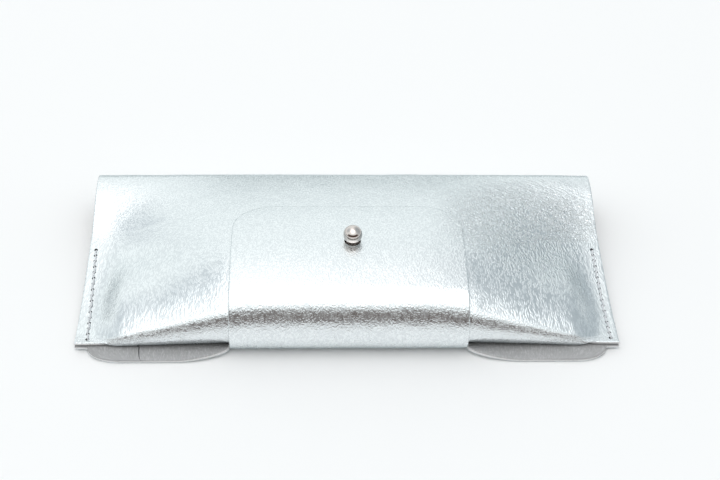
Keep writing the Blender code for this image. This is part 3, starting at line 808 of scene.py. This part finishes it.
def build_stud(nickel):
    top, seat = STUD_HIGH[2], STUD_LOW[2]
    centre_z = top - BALL_RADIUS
    meet = math.asin(NECK_RADIUS / BALL_RADIUS)
    angles = np.linspace(0, math.pi - meet, 40)
    profile = [(BALL_RADIUS * math.sin(a), centre_z + BALL_RADIUS * math.cos(a)) for a in angles]
    profile[0] = (0.0, top)
    flange = (STUD_HIGH[0] - STUD_LOW[0]) / 2
    flange_top = seat + FLANGE_THICKNESS
    profile += [(NECK_RADIUS, seat + 0.75), (NECK_RADIUS + 0.25, flange_top)]
    profile += [(flange - 0.2, flange_top), (flange, seat + 0.3), (flange, seat), (BORE_RADIUS, seat)]
    profile += [(BORE_RADIUS, seat + 3.2), (0.0, seat + 3.7)]
    stud = lathe("ball_stud", profile, (STUD_X, CROWN_Y), nickel)
    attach(stud, "pouch")
    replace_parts(stud, "stud_post")
    screw = frame["nodes"]["stud_screw"]
    screw.data.materials.clear()
    screw.data.materials.append(nickel)


# Materials


class Nodes:
    """A short way to add and link shader nodes."""

    def __init__(self, tree):
        self.tree = tree

    def add(self, kind, inputs=None, **settings):
        node = self.tree.nodes.new(kind)
        for key, value in settings.items():
            setattr(node, key, value)
        for key, value in (inputs or {}).items():
            self.set(node, key, value)
        return node

    def set(self, node, key, value):
        if isinstance(value, bpy.types.NodeSocket):
            self.tree.links.new(value, node.inputs[key])
        else:
            node.inputs[key].default_value = value

    def math(self, operation, first, second=0.0):
        return self.add("ShaderNodeMath", {0: first, 1: second}, operation=operation).outputs[0]

    def vector_math(self, operation, first, second, output="Vector"):
        node = self.add("ShaderNodeVectorMath", {0: first, 1: second}, operation=operation)
        return node.outputs[output]

    def sheet_place(self):
        """The place on the flat sheet, and its two parts, with the flap's brought back to zero."""
        sheet = self.add("ShaderNodeUVMap", uv_map="sheet").outputs["UV"]
        place = self.add("ShaderNodeSeparateXYZ", {0: sheet}).outputs
        return sheet, place["X"], self.math("MODULO", place["Y"], FLAP_SHEET_START / 10)

    def remap(self, value, low, high, to_low=0.0, to_high=1.0):
        inputs = {"Value": value, "From Min": low, "From Max": high}
        inputs.update({"To Min": to_low, "To Max": to_high})
        return self.add("ShaderNodeMapRange", inputs, interpolation_type="SMOOTHSTEP").outputs["Result"]

    def mix(self, factor, first, second):
        node = self.add("ShaderNodeMix", data_type="RGBA")
        self.set(node, 0, factor)
        self.set(node, 6, first)
        self.set(node, 7, second)
        return node.outputs[2]

    def vector(self, x, y):
        return self.add("ShaderNodeCombineXYZ", {"X": x, "Y": y}).outputs[0]

    def spot(self, x, y, centre_x, centre_y, inner, outer):
        """One near a place, falling to zero away from it."""
        distance = self.vector_math("DISTANCE", self.vector(x, y), (centre_x, centre_y, 0.0), "Value")
        return self.remap(distance, outer, inner)

    def noise(self, vector, scale, detail=3.0, distortion=0.0, output="Fac"):
        inputs = {"Vector": vector, "Scale": scale, "Detail": detail, "Distortion": distortion}
        return self.add("ShaderNodeTexNoise", inputs).outputs[output]

    def bump(self, height, distance, normal=None, strength=1.0):
        inputs = {"Height": height, "Distance": distance, "Strength": strength}
        if normal is not None:
            inputs["Normal"] = normal
        return self.add("ShaderNodeBump", inputs).outputs["Normal"]


def new_material(name):
    material = bpy.data.materials.new(name)
    material.use_nodes = True
    nodes = Nodes(material.node_tree)
    return material, nodes, material.node_tree.nodes["Principled BSDF"]


def silver_grain():
    """Silver foil over a fine grain of long pebbles. Sheet coordinates are in centimetres."""
    material, nodes, surface = new_material("silver_grain_leather")
    sheet, across, along = nodes.sheet_place()
    fan = nodes.math("ADD", nodes.math("MULTIPLY", nodes.math("SUBTRACT", along, 3.0), 0.03), 1.0)
    fanned = nodes.vector(nodes.math("MULTIPLY", across, fan), nodes.math("MULTIPLY", along, 0.72))
    warp = nodes.noise(sheet, 3.5, output="Color")
    warped = nodes.vector_math("ADD", fanned, nodes.vector_math("MULTIPLY", warp, (0.24, 0.16, 0.0)))
    pebbles = nodes.add("ShaderNodeTexVoronoi", {"Vector": warped, "Scale": 19.0}, feature="F1")
    valleys = nodes.remap(pebbles.outputs["Distance"], 0.25, 0.75)
    fine = nodes.noise(warped, 34.0, 2.0)
    folds = nodes.noise(warped, 3.2, 3.0, 0.6)
    worked = nodes.spot(across, along, 6.1, 5.4, 1.5, 3.6)
    slant_y = nodes.math("MULTIPLY", nodes.math("SUBTRACT", along, across), 0.2)
    wrinkles = nodes.noise(nodes.vector(nodes.math("ADD", across, along), slant_y), 6.5, 2.0, 0.4)
    wrinkled = nodes.math("MULTIPLY", wrinkles, nodes.spot(across, along, 6.3, 7.0, 0.8, 2.6))
    height = nodes.math("SUBTRACT", nodes.math("MULTIPLY", fine, 0.35), valleys)
    height = nodes.math("MULTIPLY", height, nodes.math("ADD", nodes.math("MULTIPLY", worked, 6.0), 1.0))
    normal = nodes.bump(folds, 0.00006)
    normal = nodes.bump(wrinkled, 0.00045, normal)
    normal = nodes.bump(height, 0.000028, normal)
    tone = nodes.mix(nodes.noise(sheet, 1.4, 4.0), (0.86, 0.905, 0.92, 1), (0.93, 0.97, 0.98, 1))
    colour = nodes.mix(nodes.math("MULTIPLY", valleys, 0.7), tone, (0.72, 0.76, 0.78, 1))
    nodes.set(surface, "Base Color", colour)
    nodes.set(surface, "Metallic", 0.95)
    nodes.set(surface, "Specular Tint", (0.62, 0.68, 0.69, 1))
    nodes.set(surface, "Roughness", nodes.remap(nodes.noise(warped, 5.0, 4.0), 0.3, 0.7, 0.20, 0.28))
    nodes.set(surface, "Normal", normal)
    return material


def flesh_side(rim):
    """Matt suede underside of the leather, darkened up to the mouth with painted shade from under the
    lip and pale grey past it, with one dark scratch.

    The rim is where the shoulders and the flap begin, in centimetres along the flat sheet.
    """
    material, nodes, surface = new_material("grey_flesh_side")
    sheet, across, along = nodes.sheet_place()
    fibres = nodes.noise(sheet, 26.0, 6.0, 1.2)
    blotches = nodes.noise(sheet, 2.2, 4.0)
    # Painted shade: the underside is dark grey up to the mouth, where the lip shades it, and lifts to
    # pale grey past the rim
    colour = nodes.mix(blotches, (0.24, 0.24, 0.24, 1), (0.32, 0.32, 0.32, 1))
    past_painted_shade = nodes.remap(along, rim + 0.05, rim + 0.85)
    colour = nodes.mix(past_painted_shade, colour, (0.60, 0.61, 0.62, 1))
    colour = nodes.mix(nodes.remap(fibres, 0.4, 0.8), colour, (0.55, 0.55, 0.56, 1))
    beside = nodes.math("MULTIPLY", nodes.math("ADD", across, 6.55), 10.0)
    scratch = nodes.spot(beside, along, 0.0, rim + 0.2, 0.15, 0.3)
    nodes.set(surface, "Base Color", nodes.mix(scratch, colour, (0.05, 0.05, 0.05, 1)))
    nodes.set(surface, "Roughness", 0.9)
    nodes.set(surface, "Sheen Weight", 0.25)
    nodes.set(surface, "Normal", nodes.bump(fibres, 0.00012))
    return material


def cut_edge():
    """Raw cut edge: pale fibres under a thin line of foil."""
    material, nodes, surface = new_material("cut_leather_edge")
    sheet = nodes.add("ShaderNodeUVMap", uv_map="sheet").outputs["UV"]
    fibres = nodes.noise(sheet, 30.0, 5.0, 0.5)
    nodes.set(surface, "Base Color", nodes.mix(fibres, (0.58, 0.58, 0.58, 1), (0.86, 0.86, 0.86, 1)))
    nodes.set(surface, "Roughness", 0.75)
    nodes.set(surface, "Normal", nodes.bump(fibres, 0.0001))
    return material


def stitch_hole_painted_shade():
    """Walls of the stitch holes over leather fibres, coloured near black as painted shade inside the
    holes.
    """
    material, nodes, surface = new_material("stitch_hole_painted_shade_leather")
    place = nodes.add("ShaderNodeTexCoord").outputs["Object"]
    fibres = nodes.noise(place, 6000.0, 3.0)
    # Painted shade: the near-black colour stands in for the shade inside the stitch holes
    nodes.set(surface, "Base Color", nodes.mix(fibres, (0.03, 0.03, 0.035, 1), (0.10, 0.10, 0.11, 1)))
    nodes.set(surface, "Roughness", 0.9)
    nodes.set(surface, "Normal", nodes.bump(fibres, 0.00005))
    return material


def waxed_thread():
    material, nodes, surface = new_material("waxed_silver_thread")
    place = nodes.add("ShaderNodeTexCoord").outputs["Object"]
    fuzz = nodes.noise(place, 9000.0, 3.0)
    nodes.set(surface, "Base Color", nodes.mix(fuzz, (0.62, 0.64, 0.67, 1), (0.84, 0.86, 0.88, 1)))
    nodes.set(surface, "Roughness", 0.45)
    nodes.set(surface, "Sheen Weight", 0.3)
    nodes.set(surface, "Normal", nodes.bump(fuzz, 0.00003))
    return material


def polished_nickel():
    material, nodes, surface = new_material("polished_nickel")
    place = nodes.add("ShaderNodeTexCoord").outputs["Object"]
    wear = nodes.noise(place, 700.0, 5.0)
    nodes.set(surface, "Base Color", (0.68, 0.63, 0.60, 1))
    nodes.set(surface, "Metallic", 1.0)
    nodes.set(surface, "Roughness", nodes.remap(wear, 0.3, 0.8, 0.03, 0.08))
    nodes.set(surface, "Normal", nodes.bump(wear, 0.00001, strength=0.4))
    return material


# Stage, light and camera


def build_floor():
    mesh = bpy.data.meshes.new("table_top")
    size = 3.0
    corners = [(-size, -size, 0), (size, -size, 0), (size, size, 0), (-size, size, 0)]
    mesh.from_pydata(corners, [], [(0, 1, 2, 3)])
    material, nodes, surface = new_material("white_table")
    nodes.set(surface, "Base Color", (0.92, 0.92, 0.92, 1))
    nodes.set(surface, "Roughness", 0.6)
    floor = new_object("table_top", mesh, material)
    floor.location.z = cad_low.z - 0.00005


def world_lobe(nodes, direction, axis, inner, outer, before, colour):
    """Blends a colour into the surroundings round one direction, angles in degrees."""
    dot = nodes.vector_math("DOT_PRODUCT", direction, tuple(Vector(axis).normalized()), "Value")
    near = nodes.remap(dot, math.cos(math.radians(outer)), math.cos(math.radians(inner)))
    return nodes.mix(near, before, colour)


def build_world():
    """Soft white studio: bright overhead, greyer at the horizon and right, dark behind the viewer."""
    world = bpy.data.worlds.new("studio")
    bpy.context.scene.world = world
    world.use_nodes = True
    nodes = Nodes(world.node_tree)
    direction = nodes.add("ShaderNodeTexCoord").outputs["Generated"]
    parts = nodes.add("ShaderNodeSeparateXYZ", {0: direction})
    height = parts.outputs["Z"]
    colour = nodes.mix(nodes.remap(height, 0.0, 0.17), (0.34, 0.38, 0.39, 1), (1.02, 1.06, 1.06, 1))
    colour = nodes.mix(nodes.remap(height, 0.65, 0.97), colour, (1.25, 1.25, 1.25, 1))
    colour = world_lobe(nodes, direction, (0.82, 0.30, 0.50), 15, 56, colour, (0.48, 0.53, 0.56, 1))
    colour = world_lobe(nodes, direction, (-0.71, 0.23, 0.67), 5, 32, colour, (0.68, 0.73, 0.76, 1))
    colour = world_lobe(nodes, direction, (0.0, -0.35, 0.937), 20, 34, colour, (1.8, 1.8, 1.8, 1))
    towards_viewer = nodes.remap(nodes.math("MULTIPLY", parts.outputs["Y"], -1.0), 0.25, 0.60)
    dark = nodes.math("MULTIPLY", towards_viewer, nodes.remap(height, 0.52, 0.34))
    colour = nodes.mix(dark, colour, (0.11, 0.08, 0.07, 1))
    background = world.node_tree.nodes["Background"]
    nodes.set(background, "Color", colour)
    nodes.set(background, "Strength", 1.0)


def build_lights():
    light = bpy.data.lights.new("softbox", "AREA")
    light.shape = "RECTANGLE"
    light.size, light.size_y = 1.2, 0.8
    light.energy = 0.6
    lamp = bpy.data.objects.new("softbox", light)
    bpy.context.scene.collection.objects.link(lamp)
    lamp.location = (-0.15, -0.10, 1.1)
    aim = Vector((0, 0, 0)) - lamp.location
    lamp.rotation_euler = aim.to_track_quat("-Z", "Y").to_euler()


def build_camera():
    """The viewer stands in front of the mouth and looks down on the case."""
    data = bpy.data.cameras.new("camera")
    data.sensor_width = 36.0
    data.lens = CAMERA_LENS
    camera = bpy.data.objects.new("camera", data)
    bpy.context.scene.collection.objects.link(camera)
    turn_z = Matrix.Rotation(math.radians(-CAMERA_YAW), 4, "Z")
    tip = Matrix.Rotation(math.radians(90 - CAMERA_PITCH), 4, "X")
    roll = Matrix.Rotation(math.radians(CAMERA_ROLL), 4, "Z")
    camera.matrix_world = Matrix.Translation(Vector(CAMERA_PLACE) * MM) @ turn_z @ tip @ roll
    bpy.context.scene.camera = camera
    bpy.context.scene.view_settings.view_transform = "Standard"


back_length = sheet_lengths(panel_points(np.array([0.0])))[-1]
leather_materials = [silver_grain(), flesh_side(back_length / 10), cut_edge(), stitch_hole_painted_shade()]
build_pouch(leather_materials)
build_flap(leather_materials)
thread_material = waxed_thread()
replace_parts(build_thread("left_seam_stitching", -1, thread_material), "left_seam_thread")
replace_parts(build_thread("right_seam_stitching", 1, thread_material), "right_seam_thread")
build_stud(polished_nickel())
build_floor()
build_world()
build_lights()
build_camera()
